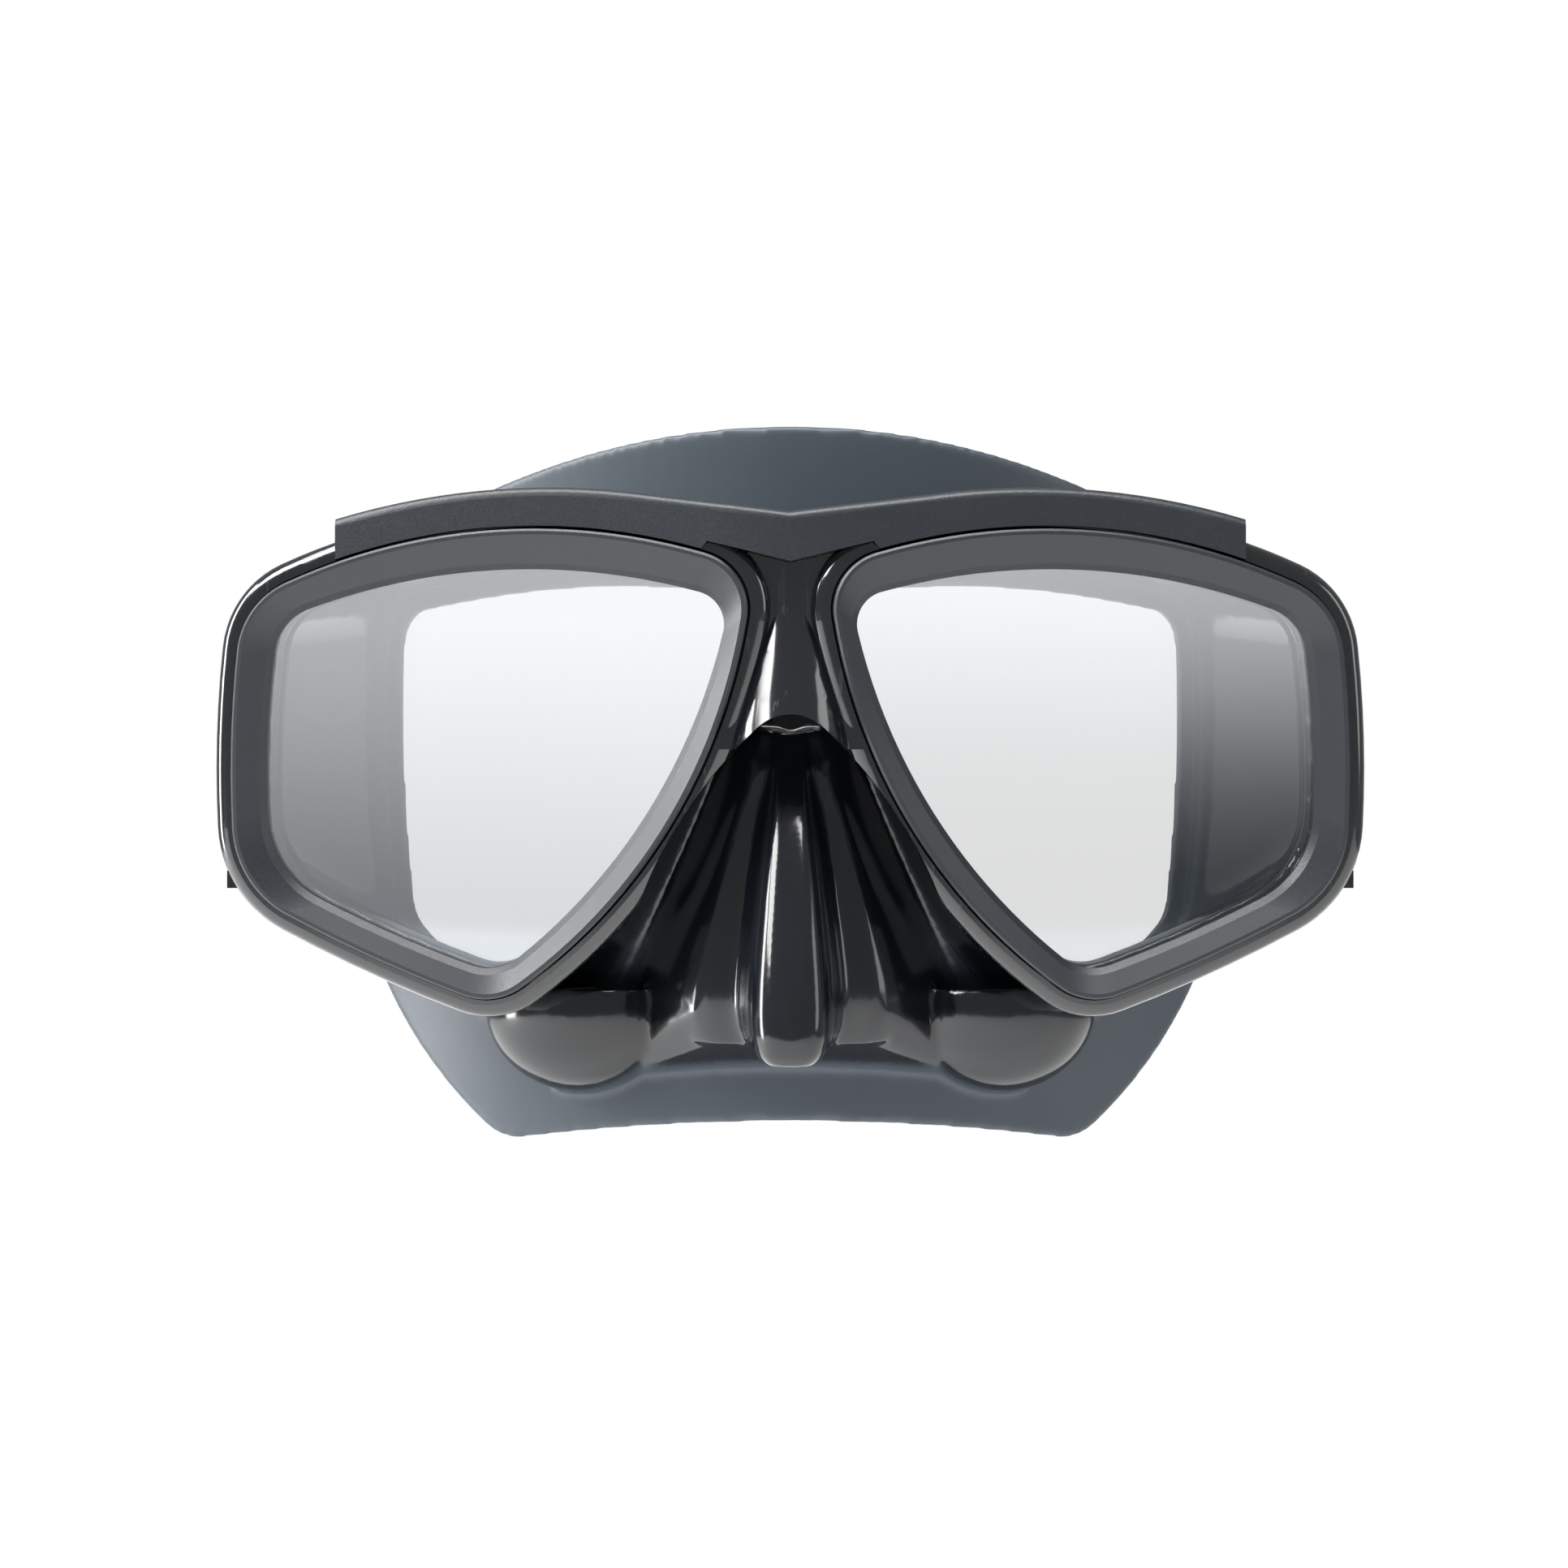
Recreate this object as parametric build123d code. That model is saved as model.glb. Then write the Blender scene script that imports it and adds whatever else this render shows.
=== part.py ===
from build123d import *
import os
from math import cos, pi, radians, sin, sqrt

# Two-lens diving mask, millimetres. +X is to the right as seen from in front, +Y runs from the
# lenses towards the wearer's head and +Z is up. The origin lies midway between the wearer's pupils.
# A pod is one eye's lens, bezel and frame ring. It is drawn in its own plane, with u outward from
# the nose, v up and w forward out of the glass. The left half of the mask mirrors the right half.

# ---- pods
pod_x = 43.0            # pod centre from the middle of the mask
pod_y = -24.0           # front face of the glass at the pod centre
pod_wrap = 8.0          # degrees that the outer side of a pod turns back
pod_tilt = 5.0          # degrees that the top of a pod leans forward

# ---- teardrop outlines: inner top, outer top, outer bottom and lower tip, joined by bowed sides
glass_corners = [(-35.0, 26.6), (31.8, 24.0), (33.8, -12.9), (0.3, -27.9)]
glass_bows = [6.0, 1.2, 0.9, 6.2]
glass_radii = [4.8, 8.0, 14.0, 7.5]
bezel_corners = [(-38.7, 31.3), (36.6, 26.6), (38.5, -14.9), (0.4, -32.4)]
bezel_bows = [8.2, 1.3, 1.0, 8.8]
bezel_radii = [8.4, 12.5, 15.0, 9.5]

# ---- lens and bezel
lens_thick = 4.0
lens_tuck = 1.5         # glass hidden under the bezel
bezel_step = 0.9        # small step beside the glass, both ways
bezel_crest = 3.4       # height of the crest above the glass
bezel_land = 0.5        # flat top of the crest
bezel_wall = 0.9
bezel_edge = 0.3        # bevel of the outer edge
glass_gap = 0.05        # clearance round the glass and its gasket

# ---- frame
ring_gap = 0.3          # gap between bezel and frame ring
ring_wide = 2.6         # width of the gloss rim outside the bezel
ring_top = 2.0          # height of the rim above the glass
ring_round = 1.9        # rounding of the rim
ring_heel = 0.8         # rounding at the back of the ring
seat_depth = 5.9        # shoulder behind the bezel, measured back from the glass
seat_thick = 2.1
bridge_front = -31.5
bridge_back = -24.0
bridge_half = 12.0
bridge_low = 5.0
ridge_y = -26.5         # axis of the conical nose ridge
ridge_top = 26.2        # height where the ridge runs out into the bridge
ridge_slope = 0.236     # growth of its radius for each millimetre down
ridge_wall = 2.0
arch_top = 9.2          # crown of the arch over the nose
arch_half = 23.0        # half width of the arch at the foot of the frame's legs
arch_foot = -20.0
arch_round = 7.0        # radius of the crown
arch_bow = 3.0

# ---- brow bar
bar_half = 66.3
bar_top = 42.7          # highest line of the bar
bar_shoulder = 20.0     # where the top edge starts to fall towards the middle
bar_shoulder_drop = 0.9
bar_bow = 2.5           # bow of the top edge over each pod
bar_dip = 39.3          # height of its top edge in the middle
bar_end = 38.6          # height of its top edge at the ends
bar_notch = 32.1        # lower point of the bar in the middle
bar_notch_slope = 0.24
bar_low = 7.0           # how far the bar's blank reaches below the bezels' top
bar_middle = 1.0        # bulge of the middle
bar_deep = 6.0
bar_proud = 0.6         # bar in front of the frame rim
bar_gap = 0.45          # bar to bezel
bar_fit = 0.1           # bar to frame
bar_round = 1.3

# ---- skirt
skirt_wall = 1.6
collar_lip = 1.55       # gasket lip behind the glass
collar_front = 0.4      # gasket ends this far behind the front of the glass
neck_grow = 1.7         # outside of the skirt's neck, from the visible glass
neck_clear = 0.35       # frame shoulder to neck
neck_reach = 0.4        # straight neck behind the frame
head_radius = 88.0      # the face seal lies on an upright cylinder
head_y = 80.0           # axis of that cylinder
cheek_x = 31.0          # middle of each chamber where it meets the face
cheek_y = 7.0
cheek_turn = 22.0
cheek_corners = [(-33.0, 35.0), (33.5, 31.0), (31.0, -24.0), (-5.0, -49.5)]
cheek_bows = [1.5, 2.0, 3.0, 8.0]
cheek_radii = [7.0, 11.0, 13.0, 10.0]
saddle_front = -21.0    # floor of the finger wells, each side of the nose
saddle_rear = -5.0
saddle_front_corners = [(-5.0, 3.0), (5.0, 3.0), (15.5, -37.0), (-15.5, -37.0)]
saddle_rear_corners = [(-15.0, 33.0), (15.0, 33.0), (29.0, -44.5), (-29.0, -44.5)]
saddle_round = 4.5
nose_root = -13.0       # centre line of the nose column's oval sections
nose_stations = [(2.0, 2.4, -21.0), (-7.0, 3.4, -26.5), (-19.0, 4.7, -32.5), (-30.0, 6.0, -37.0),
                 (-36.0, 6.4, -37.5), (-39.0, 4.6, -33.5)]     # height, half width, tip
flange_thick = 1.6
flange_corners = [(-56.0, 40.0), (56.0, 40.0), (43.5, -54.0), (-43.5, -54.0)]
flange_bows = [13.5, 19.5, -3.6, 19.5]
flange_radii = [26.0, 26.0, 7.0, 7.0]
lip_wide = 3.2          # inner lip of the flange, inside the chamber's wall

# ---- strap buckles
hinge_x = 80.5          # swivel axis
hinge_y = -4.0
hinge_z = -3.0
pin_radius = 1.5
pin_fit = 0.02          # pin in a hole that holds it
run_fit = 0.06          # pin in a hole that turns on it
pin_short = 0.2         # each pin ends this far inside its outer faces
ear_thick = 2.6
ear_radius = 3.4
ear_gap = 0.4           # ear to buckle
buckle_tall = 19.0
cheek_thick = 1.8
cheek_half = 3.0        # half width of a cheek plate
barrel_radius = 3.2
web_reach = 5.4         # solid web between the cheeks, back from the swivel axis
web_top = 1.4
end_radius = 1.6        # end bar that the strap passes round
strap_gap = 5.6         # clear slot for the strap, between roller and end bar
roller_radius = 2.0
roller_x = -0.5
roller_pin_radius = 1.0
roller_y = 14.5
side_gap = 0.3          # roller or lever to cheek
lever_pin_radius = 0.8
lever_pin_y = 9.0
lever_pin_x = 3.9
lever_thick = 1.5
lever_front = 3.6       # thumb end of the lever, behind the swivel axis
tooth_gap = 0.7         # lever tooth to roller
knuckle_radius = 1.7
spring_wire = 0.5
spring_inside = 1.0     # inner radius of the coil
spring_turns = 4
spring_pitch = 0.95
spring_tail = 1.6


def bowed_outline(corners, bows, radii):
    """Face inside corners listed clockwise, with sides bowed outward and rounded corners."""
    sides = []
    for i, corner in enumerate(corners):
        sides.append(SagittaArc(corner, corners[(i + 1) % len(corners)], bows[i]).edge())
    face = Face(Wire(sides))
    for corner, radius in zip(corners, radii):
        face = face.fillet_2d(radius, [face.vertices().sort_by_distance((*corner, 0))[0]])
    return face


def upward(face):
    """The same face with its normal along +Z, so that it extrudes upward."""
    return -face if face.normal_at().Z < 0 else face


def grown(face, distance):
    """Move every arc of a convex rounded outline outward along its own radius."""
    arcs = []
    for edge in face.outer_wire().order_edges():
        points = [edge.position_at(share) for share in (0, 0.5, 1)]
        moved = [point + (point - edge.arc_center).normalized() * distance for point in points]
        arcs.append(ThreePointArc(*moved).edge())
    return upward(Face(Wire(arcs)))


def glass(grow=0.0):
    return grown(bowed_outline(glass_corners, glass_bows, glass_radii), grow)


def shell(grow=0.0):
    return grown(bowed_outline(bezel_corners, bezel_bows, bezel_radii), grow)


def slab(face, low, high):
    return Pos(0, 0, low) * extrude(face, high - low)


def pod_place():
    wrap = radians(pod_wrap)
    tilt = radians(pod_tilt)
    outward = Vector(cos(wrap), sin(wrap), 0)
    forward = Vector(sin(wrap) * cos(tilt), -cos(wrap) * cos(tilt), -sin(tilt))
    return Plane(origin=(pod_x, pod_y, 0), x_dir=outward, z_dir=forward).location


def in_pod(shape):
    return pod_place() * shape


def both(shape):
    return shape + mirror(shape, Plane.YZ)


def front_prism(face_xz, y_front, y_back):
    """Extrude a face drawn in X and Z from y_front back to y_back."""
    return Pos(0, y_back, 0) * extrude(Plane.XZ * upward(face_xz), y_back - y_front)


# ---------------------------------------------------------------- lenses and bezels
def lens():
    return in_pod(slab(glass(lens_tuck), -lens_thick, 0))


def bezel():
    back = ring_gap - seat_depth
    body = slab(shell(), back, bezel_crest)
    body = chamfer(body.faces().sort_by(Axis.Z)[-1].edges(), bezel_edge)
    body -= slab(shell(-bezel_wall), back - 1, glass_gap)
    body -= slab(glass(), 0, bezel_crest)
    cone_foot = Pos(0, 0, bezel_step) * glass()
    cone_step = Pos(0, 0, 2 * bezel_step) * glass(bezel_step)
    cone_rim = Pos(0, 0, bezel_crest) * shell(-bezel_land - bezel_edge)
    body -= loft([cone_foot, cone_step], ruled=True)
    body -= loft([cone_step, cone_rim], ruled=True)
    return in_pod(body)


# ---------------------------------------------------------------- brow bar
def brow_z():
    """Height of the bezels' top edge."""
    return shell().bounding_box().max.Y * cos(radians(pod_tilt))


def pod_y_at(x, z, height):
    """Y of the surface at this height above the glass plane, over the point x, z."""
    forward = Axis(pod_place()).direction
    return pod_y + (height - (x - pod_x) * forward.X - z * forward.Z) / forward.Y


def brow_outline(fit=0.0):
    """Front view of the bar. The bezels hide its lower side, apart from the notch in the middle."""
    end = bar_half + fit
    low = brow_z() - bar_low
    notch_z = bar_notch + bar_notch_slope * bridge_half - fit
    shoulder = (bar_shoulder, bar_top - bar_shoulder_drop + fit)
    top = [
        SagittaArc((-end, bar_end + fit), (-shoulder[0], shoulder[1]), bar_bow),
        Line((-shoulder[0], shoulder[1]), (0, bar_dip + fit)),
        Line((0, bar_dip + fit), shoulder),
        SagittaArc(shoulder, (end, bar_end + fit), bar_bow),
    ]
    bottom = Polyline((end, bar_end + fit), (end, low), (bridge_half + 4, low), (bridge_half, notch_z),
                      (0, bar_notch - fit), (-bridge_half, notch_z), (-bridge_half - 4, low),
                      (-end, low), (-end, bar_end + fit))
    edges = [edge for side in top for edge in side.edges()] + list(bottom.edges())
    return Face(Wire(edges))


def brow_plan(fit=0.0):
    """Plan view of the bar: straight wings that follow the pods, and a rounded middle."""
    level = brow_z()
    end = bar_half + 1
    front_end = pod_y_at(end, level, ring_top + bar_proud) - fit
    front_mid = pod_y_at(bridge_half, level, ring_top + bar_proud) - fit
    back = bar_deep + 2 * fit
    front = [
        Line((end, front_end), (bridge_half, front_mid)),
        ThreePointArc((bridge_half, front_mid), (0, front_mid - bar_middle), (-bridge_half, front_mid)),
        Line((-bridge_half, front_mid), (-end, front_end)),
    ]
    rear = Polyline((-end, front_end), (-end, front_end + back), (-bridge_half, front_mid + back),
                    (bridge_half, front_mid + back), (end, front_end + back), (end, front_end))
    edges = [edge for side in front for edge in side.edges()] + list(rear.edges())
    return Face(Wire(edges))


def brow_block(fit=0.0):
    tall = slab(upward(brow_plan(fit)), 0, 2 * bar_top)
    return front_prism(brow_outline(fit), 2 * bridge_front, 0) & tall


def brow_bar():
    bar = brow_block()
    top_front = bar.edges().filter_by(lambda e: is_brow_edge(e))
    bar = fillet(top_front, bar_round)
    room = in_pod(slab(shell(bar_gap), -4 * seat_depth, 4 * seat_depth))
    return bar - both(room)


def is_brow_edge(edge):
    """True for the bar's long upper front edges."""
    middle = edge.position_at(0.5)
    on_top = middle.Z > brow_z() + 0.5
    surface = pod_y_at(max(abs(middle.X), bridge_half), brow_z(), ring_top + bar_proud)
    return on_top and middle.Y < surface + 0.2 and edge.length > 3


# ---------------------------------------------------------------- frame
def frame_ring():
    back = -(seat_depth + seat_thick)
    ring = slab(shell(ring_gap + ring_wide), back, ring_top)
    ring = fillet(ring.faces().sort_by(Axis.Z)[-1].edges(), ring_round)
    ring = fillet(ring.faces().sort_by(Axis.Z)[0].edges(), ring_heel)
    return in_pod(ring)


def pod_sockets():
    """Room for both bezels and for the skirt's necks behind them."""
    seat = slab(shell(ring_gap), -seat_depth, 4 * seat_depth)
    neck = slab(glass(neck_grow + neck_clear), -4 * seat_depth, 0)
    return both(in_pod(seat) + in_pod(neck))


def ridge_radius(z):
    return (ridge_y - bridge_front) + (ridge_top - z) * ridge_slope


def ridge_cone(low, high, inset=0.0):
    cone = Cone(ridge_radius(low) - inset, ridge_radius(high) - inset, high - low,
                align=(Align.CENTER, Align.CENTER, Align.MIN))
    return Pos(0, ridge_y, low) * cone


def bridge():
    high = brow_z()
    deep = bridge_back - bridge_front
    wide = 2 * bridge_half
    plate = Pos(0, (bridge_front + bridge_back) / 2, (bridge_low + high) / 2) * Box(wide, deep, high - bridge_low)
    ahead = Pos(0, bridge_back, 0) * Box(4 * wide, 100, 200, align=(Align.CENTER, Align.MAX, Align.CENTER))
    shape = plate + (ridge_cone(bridge_low, high - 2) & ahead)
    return shape - ridge_cone(bridge_low - 1, ridge_top - 3 * ridge_wall, ridge_wall)


def arch_opening():
    """Room for the nose: two bowed sides that meet in a rounded crown."""
    crown = (0, arch_top + (sqrt(2) - 1) * arch_round)
    sides = [
        SagittaArc((-arch_half, arch_foot), crown, arch_bow),
        SagittaArc(crown, (arch_half, arch_foot), arch_bow),
        Line((arch_half, arch_foot), (-arch_half, arch_foot)),
    ]
    face = Face(Wire([edge for side in sides for edge in side.edges()]))
    face = face.fillet_2d(arch_round, [face.vertices().sort_by(Axis.Y)[-1]])
    return front_prism(face, 2 * bridge_front, 0)


def hinge_lug():
    """Two ears behind the outer side of the ring, which hold the swivel pin."""
    root_y = pod_y_at(hinge_x, hinge_z, -(seat_depth + seat_thick)) - 1
    plan = Pos(hinge_x, hinge_y) * Circle(ear_radius)
    neck = Polyline((hinge_x - ear_radius, hinge_y), (hinge_x - 1, root_y), (hinge_x + ear_radius, root_y),
                    (hinge_x + ear_radius, hinge_y), close=True)
    plan += make_face(neck)
    low = buckle_tall / 2 + ear_gap
    ear = slab(plan, hinge_z + low, hinge_z + low + ear_thick)
    ears = ear + Pos(0, 0, -2 * low - ear_thick) * ear
    bore = Pos(hinge_x, hinge_y, hinge_z) * Cylinder(pin_radius + pin_fit, 2 * buckle_tall)
    return ears - bore


def main_frame():
    shape = both(frame_ring()) + bridge()
    shape -= pod_sockets()
    shape -= brow_block(bar_fit)
    shape -= arch_opening()
    return shape + both(hinge_lug())


# ---------------------------------------------------------------- skirt
def head(extra=0.0):
    return Pos(0, head_y, 0) * Cylinder(head_radius + extra, 4 * bar_top)


def collar():
    """Gasket that wraps the edge of the glass, with a lip behind it."""
    glass_back = -lens_thick - glass_gap
    ring = slab(shell(-bezel_wall - glass_gap), glass_back - collar_lip, -collar_front)
    ring -= slab(glass(lens_tuck + glass_gap), glass_back, 1)
    ring -= slab(glass(neck_grow - skirt_wall), glass_back - 2 * collar_lip, 1)
    return in_pod(ring)


def cheek_face(inset):
    place = Plane(origin=(cheek_x, cheek_y, 0), x_dir=(cos(radians(cheek_turn)), sin(radians(cheek_turn)), 0),
                  z_dir=(sin(radians(cheek_turn)), -cos(radians(cheek_turn)), 0))
    return place.location * grown(bowed_outline(cheek_corners, cheek_bows, cheek_radii), -inset)


def chamber(inset=0.0):
    """One eye's air space: a straight neck through the frame, then a taper to the face."""
    neck_back = -(seat_depth + seat_thick + neck_reach)
    mouth = glass(neck_grow - inset)
    neck_front = -lens_thick - collar_lip - glass_gap if inset == 0 else -lens_thick
    neck = in_pod(slab(mouth, neck_back, neck_front))
    start = pod_place() * (Pos(0, 0, neck_back) * mouth)
    return neck + loft([start, cheek_face(inset)], ruled=True)


def saddle(inset=0.0):
    """Broad base of the nose pocket, whose front holds the finger wells."""
    faces = []
    for corners, y in ((saddle_front_corners, saddle_front + inset), (saddle_rear_corners, saddle_rear)):
        outline = Polyline(*corners, close=True)
        face = make_face(outline).face()
        face = face.fillet_2d(saddle_round, face.vertices())
        if inset:
            face = offset(face, -inset).face()
        faces.append(Pos(0, y, 0) * (Plane.XZ * upward(face)))
    return loft(faces, ruled=True)


def nose_column(inset=0.0):
    """Raised column over the bridge of the nose, a smooth stack of ovals."""
    sections = []
    for z, half, tip in (nose_stations[1:] if inset else nose_stations):
        low_end = inset if z == nose_stations[-1][0] else 0
        oval = Ellipse(half - inset, nose_root - tip - inset)
        sections.append(Pos(0, nose_root, z + low_end) * oval)
    return loft(sections)


def face_volume(inset=0.0):
    """Everything behind the lenses apart from the nose column, drawn in by the inset."""
    return both(chamber(inset)) + saddle(inset)


def skirt_volume(inset=0.0):
    return face_volume(inset) + nose_column(inset)


def flange():
    """Sealing flange on the face, before its opening is cut."""
    return front_prism(bowed_outline(flange_corners, flange_bows, flange_radii), -head_y, head_y)


def skirt():
    seal = flange() & (head(flange_thick) - head())
    seal -= face_volume(skirt_wall + lip_wide)
    walls = skirt_volume() - skirt_volume(skirt_wall) - head()
    return walls + seal + both(collar())


# ---------------------------------------------------------------- strap buckles, right side
def at_hinge(shape):
    return Pos(hinge_x, hinge_y, hinge_z) * shape


def swivel_pin():
    long = buckle_tall + 2 * (ear_gap + ear_thick - pin_short)
    pin = Cylinder(pin_radius, long)
    return at_hinge(chamfer(pin.edges().filter_by(GeomType.CIRCLE), 0.3))


def end_y():
    return roller_y + roller_radius + strap_gap + end_radius


def buckle():
    lever_ear = Pos(lever_pin_x, lever_pin_y) * Circle(knuckle_radius)
    lever_foot = Pos(lever_pin_x / 2, lever_pin_y) * Rectangle(lever_pin_x, 2 * knuckle_radius)
    spine = Pos(0, end_y() / 2) * Rectangle(2 * cheek_half, end_y())
    tail = Pos(0, end_y()) * Circle(cheek_half)
    plan = Circle(barrel_radius) + spine + tail + lever_ear + lever_foot
    body = slab(plan, -buckle_tall / 2, buckle_tall / 2)
    inside = buckle_tall - 2 * cheek_thick
    far = 2 * end_y()
    body -= Pos(0, web_reach, 0) * Box(far, far, inside, align=(Align.CENTER, Align.MIN, Align.CENTER))
    body -= Pos(web_top, barrel_radius, 0) * Box(far, far, inside, align=(Align.MIN, Align.MIN, Align.CENTER))
    body += Pos(0, end_y(), 0) * Cylinder(end_radius, buckle_tall - cheek_thick)
    body -= Cylinder(pin_radius + run_fit, far)
    body -= Pos(roller_x, roller_y, 0) * Cylinder(roller_pin_radius + pin_fit, far)
    body -= Pos(lever_pin_x, lever_pin_y, 0) * Cylinder(lever_pin_radius + pin_fit, far)
    return at_hinge(body)


def strap_roller():
    long = buckle_tall - 2 * (cheek_thick + side_gap)
    roller = Cylinder(roller_radius, long)
    roller = chamfer(roller.edges().filter_by(GeomType.CIRCLE), 0.3)
    roller -= Cylinder(roller_pin_radius + run_fit, 2 * long)
    return at_hinge(Pos(roller_x, roller_y, 0) * roller)


def buckle_pin(radius, x, y):
    pin = Cylinder(radius, buckle_tall - 2 * pin_short)
    return at_hinge(Pos(x, y, 0) * pin)


def release_lever():
    long = buckle_tall - 2 * (cheek_thick + side_gap)
    inner = lever_pin_x - lever_thick / 2
    outer = lever_pin_x + lever_thick / 2
    tip_x = roller_x + roller_radius + tooth_gap
    tip_y = roller_y - 0.3
    profile = Polyline((inner, lever_front), (outer + 0.3, lever_front), (outer, lever_front + 2),
                       (outer, lever_pin_y), (outer - 0.3, tip_y), (tip_x, tip_y),
                       (inner, tip_y - 1.6), close=True)
    plan = make_face(profile) + Pos(lever_pin_x, lever_pin_y) * Circle(knuckle_radius)
    lever = slab(plan, -long / 2, long / 2)
    slot = 2 * (spring_inside + spring_wire + 0.6)
    lever -= Pos(lever_pin_x, lever_pin_y, 0) * Box(slot, slot, spring_room())
    lever -= Pos(lever_pin_x, lever_pin_y, 0) * Cylinder(lever_pin_radius + run_fit, 2 * long)
    return at_hinge(lever)


def spring_room():
    return spring_turns * spring_pitch + spring_wire + 2 * side_gap


def biarc(start, start_way, end, end_way):
    """Two tangent arcs from start to end that leave and arrive along the given unit vectors."""
    span = end - start
    ways = start_way + end_way
    a = 2 * (1 - start_way.dot(end_way))
    b = 2 * span.dot(ways)
    reach = (sqrt(b * b + 4 * a * span.dot(span)) - b) / (2 * a)
    joint = (start + end + (start_way - end_way) * reach) / 2
    first = TangentArc(start, joint, tangent=start_way).edge()
    second = TangentArc(end, joint, tangent=-end_way).edge()
    return [first, Edge(second.wrapped.Reversed())]


def helix_point(radius, turn):
    angle = 2 * pi * turn
    return Vector(-radius * cos(angle), radius * sin(angle), spring_pitch * turn)


def helix_way(radius, turn):
    angle = 2 * pi * turn
    return Vector(2 * pi * radius * sin(angle), 2 * pi * radius * cos(angle), spring_pitch).normalized()


def lever_spring():
    """Torsion spring round the lever pin: a coil of half-turn biarcs between two straight tails."""
    radius = spring_inside + spring_wire / 2
    halves = 2 * spring_turns
    points = [helix_point(radius, i / 2) for i in range(halves + 1)]
    ways = [helix_way(radius, i / 2) for i in range(halves + 1)]
    edges = [Line(points[0] - ways[0] * spring_tail, points[0]).edge()]
    for i in range(halves):
        edges += biarc(points[i], ways[i], points[i + 1], ways[i + 1])
    edges.append(Line(points[-1], points[-1] + ways[-1] * spring_tail).edge())
    path = Wire(edges)
    start = points[0] - ways[0] * spring_tail
    coil = sweep(Plane(origin=start, z_dir=ways[0]) * Circle(spring_wire / 2), path=path)
    print("spring coil gap", round(spring_pitch - spring_wire, 3), "mm")
    return at_hinge(Pos(lever_pin_x, lever_pin_y, -spring_turns * spring_pitch / 2) * coil)


# ---------------------------------------------------------------- build
def mirrored(shape):
    return mirror(shape, Plane.YZ)


def build_parts():
    parts = {"main_frame": main_frame(), "brow_bar": brow_bar(), "skirt": skirt()}
    right = {
        "lens": lens(),
        "bezel": bezel(),
        "swivel_pin": swivel_pin(),
        "buckle": buckle(),
        "strap_roller": strap_roller(),
        "roller_pin": buckle_pin(roller_pin_radius, roller_x, roller_y),
        "release_lever": release_lever(),
        "lever_pin": buckle_pin(lever_pin_radius, lever_pin_x, lever_pin_y),
        "lever_spring": lever_spring(),
    }
    for name, shape in right.items():
        parts[name + "_right"] = shape
        parts[name + "_left"] = mirrored(shape)
    return parts


os.makedirs("parts", exist_ok=True)
for name, shape in build_parts().items():
    shape.label = name
    export_step(shape, f"parts/{name}.step")
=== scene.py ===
import math

import bmesh
import bpy
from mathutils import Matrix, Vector


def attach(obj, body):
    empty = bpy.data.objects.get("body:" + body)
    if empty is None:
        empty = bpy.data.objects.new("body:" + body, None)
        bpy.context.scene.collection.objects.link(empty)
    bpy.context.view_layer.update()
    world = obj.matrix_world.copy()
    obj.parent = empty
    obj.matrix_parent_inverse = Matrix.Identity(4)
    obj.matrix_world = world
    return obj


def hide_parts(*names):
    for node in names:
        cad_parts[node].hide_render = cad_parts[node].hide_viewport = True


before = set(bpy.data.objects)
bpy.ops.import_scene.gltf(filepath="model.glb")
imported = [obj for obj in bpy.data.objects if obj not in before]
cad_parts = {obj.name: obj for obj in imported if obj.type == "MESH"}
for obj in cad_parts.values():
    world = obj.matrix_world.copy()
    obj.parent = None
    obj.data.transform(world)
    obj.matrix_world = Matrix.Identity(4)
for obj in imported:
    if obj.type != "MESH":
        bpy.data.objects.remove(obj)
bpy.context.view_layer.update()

SIDES = ("left", "right")
MM = 0.001
FACE_AXIS_Y = 80 * MM       # upright axis that the face seal curves round
SEAL_REACH = 90 * MM        # the matte seal ends this far from that axis
GLOSS_REACH = 94 * MM       # from here on the silicone is glossy


# ---------------------------------------------------------------- node helpers
def srgb(red, green, blue):
    """Linear colour, with alpha, from 8-bit screen values."""
    def linear(value):
        value /= 255
        return value / 12.92 if value <= 0.04045 else ((value + 0.055) / 1.055) ** 2.4

    return (linear(red), linear(green), linear(blue), 1.0)


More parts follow.
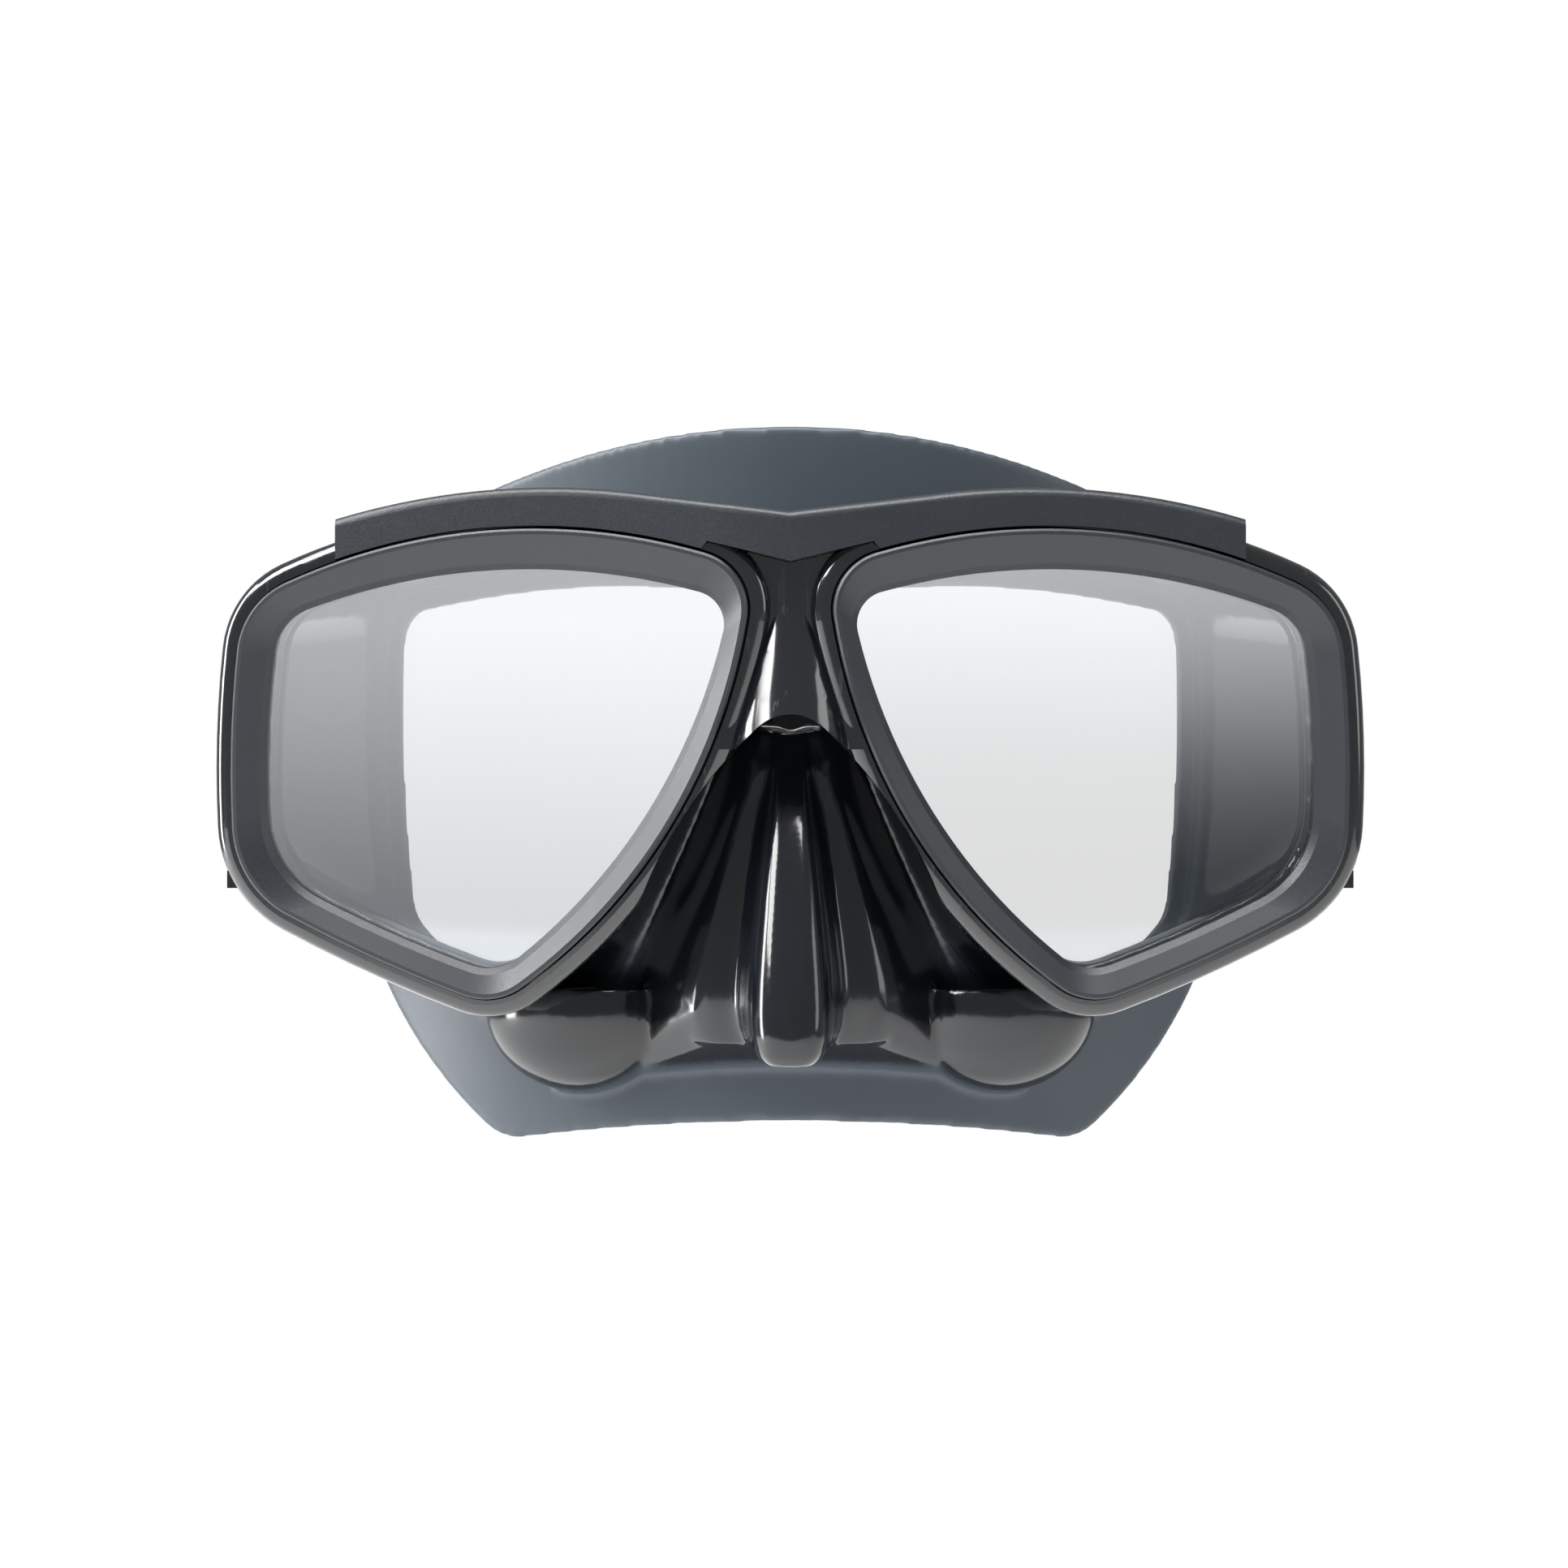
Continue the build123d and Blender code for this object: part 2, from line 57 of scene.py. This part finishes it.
class Material:
    """A node material that starts with a Principled shader and object coordinates."""

    def __init__(self, name, color, roughness, **values):
        self.material = bpy.data.materials.new(name)
        self.material.use_nodes = True
        self.nodes = self.material.node_tree.nodes
        self.links = self.material.node_tree.links
        self.shader = self.nodes["Principled BSDF"]
        self.shader.inputs["Base Color"].default_value = color
        self.shader.inputs["Roughness"].default_value = roughness
        for socket, value in values.items():
            self.shader.inputs[socket.replace("_", " ")].default_value = value
        self.coords = self.nodes.new("ShaderNodeTexCoord").outputs["Object"]

    def noise(self, scale, detail, roughness=0.5, stretch=(1, 1, 1)):
        """Noise whose features are about 1 / scale metres wide."""
        mapping = self.nodes.new("ShaderNodeMapping")
        mapping.inputs["Scale"].default_value = stretch
        self.links.new(self.coords, mapping.inputs["Vector"])
        texture = self.nodes.new("ShaderNodeTexNoise")
        texture.inputs["Scale"].default_value = scale
        texture.inputs["Detail"].default_value = detail
        texture.inputs["Roughness"].default_value = roughness
        self.links.new(mapping.outputs["Vector"], texture.inputs["Vector"])
        return texture.outputs["Fac"]

    def ramp(self, value, low, high, out_low, out_high, smooth=True):
        """Map the value from the range low to high on to the range out_low to out_high."""
        node = self.nodes.new("ShaderNodeMapRange")
        node.interpolation_type = "SMOOTHSTEP" if smooth else "LINEAR"
        ends = {"From Min": low, "From Max": high, "To Min": out_low, "To Max": out_high}
        for socket, number in ends.items():
            node.inputs[socket].default_value = number
        self.links.new(value, node.inputs["Value"])
        return node.outputs["Result"]

    def math(self, operation, *values):
        """Result of an operation on one or two values, each a number or a socket."""
        node = self.nodes.new("ShaderNodeMath")
        node.operation = operation
        for socket, value in zip(node.inputs, values):
            if isinstance(value, (int, float)):
                socket.default_value = value
            else:
                self.links.new(value, socket)
        return node.outputs["Value"]

    def mix(self, factor, first, second):
        """Mix of two colours, each a colour or a socket."""
        node = self.nodes.new("ShaderNodeMix")
        node.data_type = "RGBA"
        self.links.new(factor, node.inputs["Factor"])
        for name, value in (("A", first), ("B", second)):
            socket = [s for s in node.inputs if s.name == name and s.type == "RGBA"][0]
            if isinstance(value, tuple):
                socket.default_value = value
            else:
                self.links.new(value, socket)
        return [s for s in node.outputs if s.type == "RGBA"][0]

    def axis(self, name):
        """One object coordinate, in metres."""
        node = self.nodes.new("ShaderNodeSeparateXYZ")
        self.links.new(self.coords, node.inputs["Vector"])
        return node.outputs[name]

    def set(self, socket, value):
        self.links.new(value, self.shader.inputs[socket])

    def bump(self, height, distance, strength):
        """Bump from a height socket. Distance is in metres."""
        node = self.nodes.new("ShaderNodeBump")
        node.inputs["Strength"].default_value = strength
        node.inputs["Distance"].default_value = distance
        self.links.new(height, node.inputs["Height"])
        self.links.new(node.outputs["Normal"], self.shader.inputs["Normal"])


# ---------------------------------------------------------------- materials
def satin_plastic():
    """Fine sparkling grain of the bezels and the brow bar."""
    m = Material("satin_black", srgb(18, 23, 28), 0.4)
    cloud = m.noise(60, 3)
    m.set("Base Color", m.mix(cloud, srgb(15, 20, 25), srgb(22, 28, 34)))
    grain = m.noise(5200, 2, 0.6)
    m.set("Roughness", m.ramp(grain, 0.3, 0.7, 0.36, 0.5))
    m.bump(grain, 0.03 * MM, 0.35)
    return m.material


def gloss_plastic():
    """Polished frame, with faint moulding waviness and hairline scratches."""
    m = Material("gloss_black", srgb(10, 13, 16), 0.16, Coat_Weight=0.5, Coat_Roughness=0.06)
    cloud = m.noise(45, 3)
    m.set("Base Color", m.mix(cloud, srgb(8, 11, 14), srgb(14, 18, 22)))
    scratches = m.noise(900, 2, 0.7, (1, 1, 0.06))
    lines = m.ramp(scratches, 0.62, 0.7, 0, 1)
    m.set("Roughness", m.ramp(lines, 0, 1, 0.14, 0.34))
    m.bump(m.noise(180, 2), 0.02 * MM, 0.3)
    return m.material


def silicone():
    """Glossy over the nose and chambers, matte and bluish on the sealing flange."""
    m = Material("black_silicone", srgb(26, 31, 36), 0.3)
    across = m.axis("X")
    along = m.math("SUBTRACT", m.axis("Y"), FACE_AXIS_Y)
    squared = m.math("ADD", m.math("MULTIPLY", across, across), m.math("MULTIPLY", along, along))
    reach = m.math("SQRT", squared)
    cloud = m.noise(50, 3)
    reach = m.math("ADD", reach, m.ramp(cloud, 0, 1, -1 * MM, 1 * MM, False))
    body = m.ramp(reach, SEAL_REACH, GLOSS_REACH, 0, 1)
    dark = m.mix(cloud, srgb(9, 12, 15), srgb(14, 18, 22))
    pale = m.mix(cloud, srgb(44, 52, 60), srgb(54, 63, 71))
    m.set("Base Color", m.mix(body, pale, dark))
    grain = m.noise(2600, 2, 0.6)
    sheen = m.ramp(body, 0, 1, 0.48, 0.13)
    m.set("Roughness", m.math("ADD", sheen, m.ramp(grain, 0.3, 0.7, -0.03, 0.03)))
    m.bump(m.noise(900, 3), 0.01 * MM, 0.2)
    return m.material


def glass_with_painted_reflection(name, rise_from, rise_to, low_alpha, low_painted_glow):
    """Glass veiled by a painted pale reflection and a painted glow over what is behind it, more so towards
    the top.

    The veil is set for one face of the glass, since light passes both of them. Heights are in
    millimetres.
    """
    m = Material(name, srgb(235, 240, 244), 0.04, Metallic=1.0)
    # painted reflection: a share that rises with height, so the glass is paler and more veiled towards the
    # top
    painted_reflection_share = m.ramp(m.axis("Z"), rise_from * MM, rise_to * MM, 0, 1, False)
    reflection_waver = m.noise(30, 3)
    painted_reflection_share = m.math("ADD", painted_reflection_share, m.ramp(reflection_waver, 0, 1, -0.05, 0.05, False))
    # painted reflection: base colour dark grey at the bottom, near white at the top
    m.set("Base Color", m.mix(painted_reflection_share, srgb(100, 110, 120), srgb(240, 243, 245)))
    m.set("Alpha", m.ramp(painted_reflection_share, 0, 1, low_alpha, 0.3))
    # painted glow: the glass gives off pale light, more towards the top, though it is no lamp
    m.shader.inputs["Emission Color"].default_value = (0.93, 0.97, 1.0, 1.0)
    m.set("Emission Strength", m.ramp(painted_reflection_share, 0, 1, low_painted_glow, 0.48))
    m.material.surface_render_method = "BLENDED"
    return m.material


def buckle_plastic():
    """Moulded black with a coarse grain."""
    m = Material("buckle_black", srgb(18, 20, 23), 0.5)
    grain = m.noise(1800, 3, 0.6)
    m.set("Base Color", m.mix(m.noise(90, 2), srgb(15, 17, 20), srgb(23, 26, 29)))
    m.set("Roughness", m.ramp(grain, 0.3, 0.7, 0.42, 0.58))
    m.bump(grain, 0.04 * MM, 0.4)
    return m.material


def stainless():
    """Brushed steel of the pins and springs."""
    m = Material("stainless", srgb(176, 178, 182), 0.28, Metallic=1.0)
    brushed = m.noise(3000, 2, 0.5, (1, 1, 0.05))
    m.set("Base Color", m.mix(brushed, srgb(160, 162, 166), srgb(190, 192, 195)))
    m.set("Roughness", m.ramp(brushed, 0.3, 0.7, 0.2, 0.36))
    return m.material


def finish_node(name, material):
    """Give a CAD node its finish."""
    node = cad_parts[name]
    node.data.materials.clear()
    node.data.materials.append(material)


# ---------------------------------------------------------------- skirt
WALL = 1.6 * MM
FACE_REACH = 88.2 * MM  # the added shells reach no nearer than this to the face seal's axis
LOBE_TOP = -30.0 * MM   # above this a lobe would stand inside its chamber
VOXEL = 0.5 * MM        # size of the skin's cells
SMOOTH_SHARE = 0.5      # how far each round of smoothing moves a point
SMOOTH_ROUNDS = 8

# Nose pocket, in millimetres: height of each level, then the column's half width and tip, the
# edge and floor of the finger well beside it, and how far the pocket widens from there to its rear.
POCKET = (
    (8.0, 2.0, -20.5, 5.0, -19.5, 1.0),
    (1.0, 2.6, -23.5, 7.0, -20.4, 2.0),
    (-6.0, 3.8, -28.5, 9.0, -21.4, 4.0),
    (-16.0, 5.0, -33.2, 11.5, -22.0, 7.0),
    (-25.0, 6.0, -36.4, 13.2, -22.4, 10.0),
    (-32.0, 6.5, -37.8, 14.0, -22.4, 12.0),
    (-37.0, 5.8, -37.4, 13.6, -21.4, 12.0),
    (-38.6, 4.2, -34.5, 12.5, -20.4, 12.0),
)
REAR = -6.0             # the pocket's rear edge
WELL_CORNER = 0.6       # from the column's side to the floor of the well
COLUMN_FRONT = 0.7      # width of the column's front, as a share of its whole width
UNDERSIDE = 0.17        # rise of the pocket's levels towards the face, for each millimetre
POCKET_ACROSS = 90      # quads across the pocket and up it
POCKET_UP = 70

# Lobe below each lens, in millimetres.
LOBE_CENTRE = (31.0, -3.0, -33.5)
LOBE_RADII = (15.0, 13.2, 13.0)
LOBE_POLE = 0.001       # angle of the first ring, in radians
LOBE_RINGS = 32
LOBE_SPOKES = 64


def spline(points, share):
    """Point on a smooth curve that starts and ends at the first and last control points."""
    padded = [points[0], points[0]] + list(points) + [points[-1], points[-1]]
    place = share * (len(padded) - 3)
    i = min(int(place), len(padded) - 4)
    t = place - i
    weights = (
        (1 - t) ** 3,
        3 * t ** 3 - 6 * t ** 2 + 4,
        -3 * t ** 3 + 3 * t ** 2 + 3 * t + 1,
        t ** 3,
    )
    return sum((Vector(p) * w for p, w in zip(padded[i:i + 4], weights)), Vector((0, 0, 0))) / 6


def pocket_level(height, column, tip, edge, floor, flare):
    """Control points of one level of the nose pocket, from its right rear to its left rear."""
    right = [
        (edge + flare, REAR),
        (edge + flare / 2, (floor + REAR) / 2),
        (edge, floor),
        ((edge + column) / 2, floor),
        (column + WELL_CORNER, floor),
        (column, (2 * tip + floor) / 3),
        (column * COLUMN_FRONT, tip),
    ]
    points = right + [(0.0, tip)] + [(-x, y) for x, y in reversed(right)]
    return [(x * MM, y * MM, (height + UNDERSIDE * (y - floor)) * MM) for x, y in points]


def grid_object(name, rows):
    """Mesh of quads through rows of points."""
    count = len(rows[0])
    vertices = [point for row in rows for point in row]
    faces = []
    for i in range(len(rows) - 1):
        for j in range(count - 1):
            corner = i * count + j
            faces.append((corner, corner + 1, corner + count + 1, corner + count))
    mesh = bpy.data.meshes.new(name)
    mesh.from_pydata(vertices, [], faces)
    piece = bpy.data.objects.new(name, mesh)
    bpy.context.scene.collection.objects.link(piece)
    return piece


def pocket_shell():
    """Nose pocket with its column and finger wells, smooth across and down."""
    across = range(POCKET_ACROSS + 1)
    levels = [pocket_level(*station) for station in POCKET]
    curves = [[spline(level, j / POCKET_ACROSS) for j in across] for level in levels]
    rows = []
    for i in range(POCKET_UP + 1):
        rows.append([spline([curve[j] for curve in curves], i / POCKET_UP) for j in across])
    return off_the_face(thick(grid_object("pocket", rows), -1))


def lobe_shell(side):
    """Rounded lobe of the chamber below a lens: the front half of an ellipsoid."""
    rows = []
    for i in range(LOBE_RINGS + 1):
        polar = LOBE_POLE + (math.pi / 2 - LOBE_POLE) * i / LOBE_RINGS
        row = []
        for j in range(LOBE_SPOKES + 1):
            angle = 2 * math.pi * j / LOBE_SPOKES
            ball = (math.sin(polar) * math.cos(angle), -math.cos(polar), math.sin(polar) * math.sin(angle))
            place = [(c + r * b) * MM for c, r, b in zip(LOBE_CENTRE, LOBE_RADII, ball)]
            row.append((side * place[0], place[1], place[2]))
        rows.append(row)
    return off_the_face(thick(grid_object("lobe", rows), side), LOBE_TOP)


def off_the_face(piece, top=math.inf):
    """Push a shell's rear on to the face seal, and drop what stands above the top."""
    bm = bmesh.new()
    bm.from_mesh(piece.data)
    high = [v for v in bm.verts if v.co.z > top]
    bmesh.ops.delete(bm, geom=high, context="VERTS")
    edges = [e for e in bm.edges if e.is_boundary]
    bmesh.ops.holes_fill(bm, edges=edges, sides=0)
    for vertex in bm.verts:
        out = Vector((vertex.co.x, vertex.co.y - FACE_AXIS_Y, 0))
        if out.length < FACE_REACH:
            vertex.co += out.normalized() * (FACE_REACH - out.length)
    bm.to_mesh(piece.data)
    bm.free()
    return piece


def baked(piece):
    """Replace a piece's mesh by its modified mesh."""
    evaluated = piece.evaluated_get(bpy.context.evaluated_depsgraph_get())
    mesh = bpy.data.meshes.new_from_object(evaluated)
    piece.modifiers.clear()
    piece.data = mesh
    return piece


def thick(piece, side):
    """Give a sheet the wall's thickness, on the side that is -1 or 1."""
    solidify = piece.modifiers.new("wall", "SOLIDIFY")
    solidify.thickness = WALL
    solidify.offset = side
    return baked(piece)


def make_skirt():
    """One smooth skin over the CAD skirt, with a rounder nose pocket and lobes."""
    skirt = bpy.data.objects.new("silicone_skirt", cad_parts["skirt"].data.copy())
    bpy.context.scene.collection.objects.link(skirt)
    extras = [pocket_shell(), lobe_shell(1), lobe_shell(-1)]
    bm = bmesh.new()
    for piece in [skirt] + extras:
        bm.from_mesh(piece.data)
    bm.to_mesh(skirt.data)
    bm.free()
    for piece in extras:
        bpy.data.objects.remove(piece)
    remesh = skirt.modifiers.new("even", "REMESH")
    remesh.mode = "VOXEL"
    remesh.voxel_size = VOXEL
    smooth = skirt.modifiers.new("soft", "SMOOTH")
    smooth.factor = SMOOTH_SHARE
    smooth.iterations = SMOOTH_ROUNDS
    baked(skirt)
    for face in skirt.data.polygons:
        face.use_smooth = True
    skirt.data.materials.clear()
    skirt.data.materials.append(silicone())
    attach(skirt, "root")
    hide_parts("skirt")


# ---------------------------------------------------------------- stage
FLOOR_Z = -0.16
FLOOR_SIZE = 1.3
WORLD_LEVEL = 0.4       # level that the white world has as light and in reflections
CAMERA_LENS = 102.6
CAMERA_X = -0.00094
CAMERA_Y = -0.677


def white_world():
    """White for the camera and through glass, and a softer level as light."""
    world = bpy.data.worlds.new("studio")
    bpy.context.scene.world = world
    world.use_nodes = True
    nodes, links = world.node_tree.nodes, world.node_tree.links
    background = nodes["Background"]
    background.inputs["Color"].default_value = (1, 1, 1, 1)
    path = nodes.new("ShaderNodeLightPath")
    seen = nodes.new("ShaderNodeMath")
    seen.operation = "MAXIMUM"
    links.new(path.outputs["Is Camera Ray"], seen.inputs[0])
    links.new(path.outputs["Is Transmission Ray"], seen.inputs[1])
    level = nodes.new("ShaderNodeMapRange")
    level.inputs["To Min"].default_value = WORLD_LEVEL
    level.inputs["To Max"].default_value = 1.0
    links.new(seen.outputs["Value"], level.inputs["Value"])
    links.new(level.outputs["Result"], background.inputs["Strength"])


def floor():
    """Pale floor that shows the camera little more than its shadow."""
    bpy.ops.mesh.primitive_plane_add(size=FLOOR_SIZE, location=(0, 0, FLOOR_Z))
    plane = bpy.context.object
    plane.name = "floor"
    m = Material("pale_floor", (0.86, 0.86, 0.86, 1), 0.7)
    path = m.nodes.new("ShaderNodeLightPath")
    glow = m.math("MULTIPLY", path.outputs["Is Camera Ray"], 0.6)
    m.shader.inputs["Emission Color"].default_value = (1, 1, 1, 1)
    m.set("Emission Strength", glow)
    m.set("Roughness", m.ramp(m.noise(40, 2), 0, 1, 0.65, 0.75))
    plane.data.materials.append(m.material)


def softbox(name, location, target, size, power):
    """White area light that faces its target."""
    data = bpy.data.lights.new(name, "AREA")
    data.shape = "RECTANGLE"
    data.size, data.size_y = size
    data.energy = power
    lamp = bpy.data.objects.new(name, data)
    lamp.location = location
    lamp.rotation_euler = (Vector(target) - Vector(location)).to_track_quat("-Z", "Y").to_euler()
    bpy.context.scene.collection.objects.link(lamp)


def lights():
    """Soft key from the upper left, a strip beside it, a broad top light and two faint fills."""
    softbox("key", (-0.9, -0.55, 0.8), (0, 0, 0), (0.6, 0.6), 22)
    softbox("left_strip", (-0.75, -0.05, 0.05), (-0.05, -0.02, 0), (0.2, 0.9), 12)
    softbox("top", (-0.1, -0.25, 0.9), (0, 0, 0), (1.2, 0.35), 20)
    softbox("right_fill", (0.9, -0.35, 0.2), (0, 0, 0), (0.3, 0.6), 2)
    softbox("window", (-0.12, -0.75, -0.5), (0, 0, -0.03), (0.12, 0.12), 1.2)


def camera():
    """Level view from straight in front, 650 mm from the frame's front."""
    data = bpy.data.cameras.new("camera")
    data.sensor_width = 36
    data.lens = CAMERA_LENS
    data.clip_start = 0.01
    view = bpy.data.objects.new("camera", data)
    view.location = (CAMERA_X, CAMERA_Y, 0)
    view.rotation_euler = (math.pi / 2, 0, 0)
    bpy.context.scene.collection.objects.link(view)
    bpy.context.scene.camera = view


# ---------------------------------------------------------------- build
satin = satin_plastic()
gloss = gloss_plastic()
plastic = buckle_plastic()
steel = stainless()
finish_node("main_frame", gloss)
finish_node("brow_bar", satin)
# each lens: heights over which its painted reflection and glow rise, then its alpha and painted glow at
# the bottom
finish_node("lens_left", glass_with_painted_reflection("glass_left", -24, 24, 0.28, 0.3))
finish_node("lens_right", glass_with_painted_reflection("glass_right", -14, 30, 0.17, 0.06))
for side in SIDES:
    finish_node(f"bezel_{side}", satin)
    for node in ("buckle", "strap_roller", "release_lever"):
        finish_node(f"{node}_{side}", plastic)
    for node in ("swivel_pin", "roller_pin", "lever_pin", "lever_spring"):
        finish_node(f"{node}_{side}", steel)
make_skirt()

white_world()
floor()
lights()
camera()
bpy.context.scene.view_settings.view_transform = "Standard"
